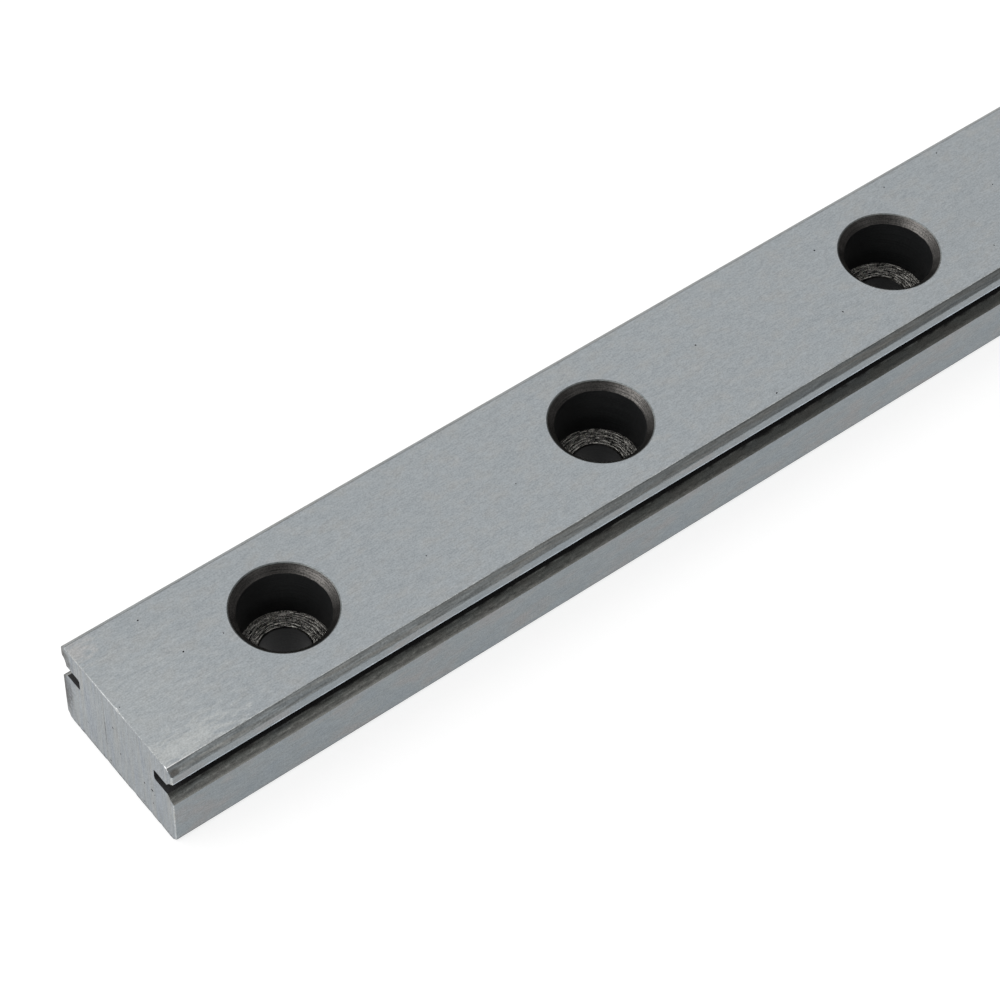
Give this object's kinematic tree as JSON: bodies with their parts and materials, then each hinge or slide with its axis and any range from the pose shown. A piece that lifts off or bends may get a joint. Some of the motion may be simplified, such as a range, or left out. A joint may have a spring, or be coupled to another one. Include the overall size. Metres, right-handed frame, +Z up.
{
  "type": "profile linear guide rail",
  "caption": "Straight miniature guide rail of ground steel with a ball raceway in each side and counterbored screw holes along the top.",
  "frame": {"origin": "middle of the rail's length and width, on the mounting face", "axes": "+X along the rail, +Y across it, +Z up out of the counterbored top face"},
  "size_m": [0.3, 0.012, 0.0075],
  "materials": {
    "ground_steel": "finely ground, bare"
  },
  "bodies": {
    "root": {"rail": "ground_steel"}
  },
  "joints": []
}
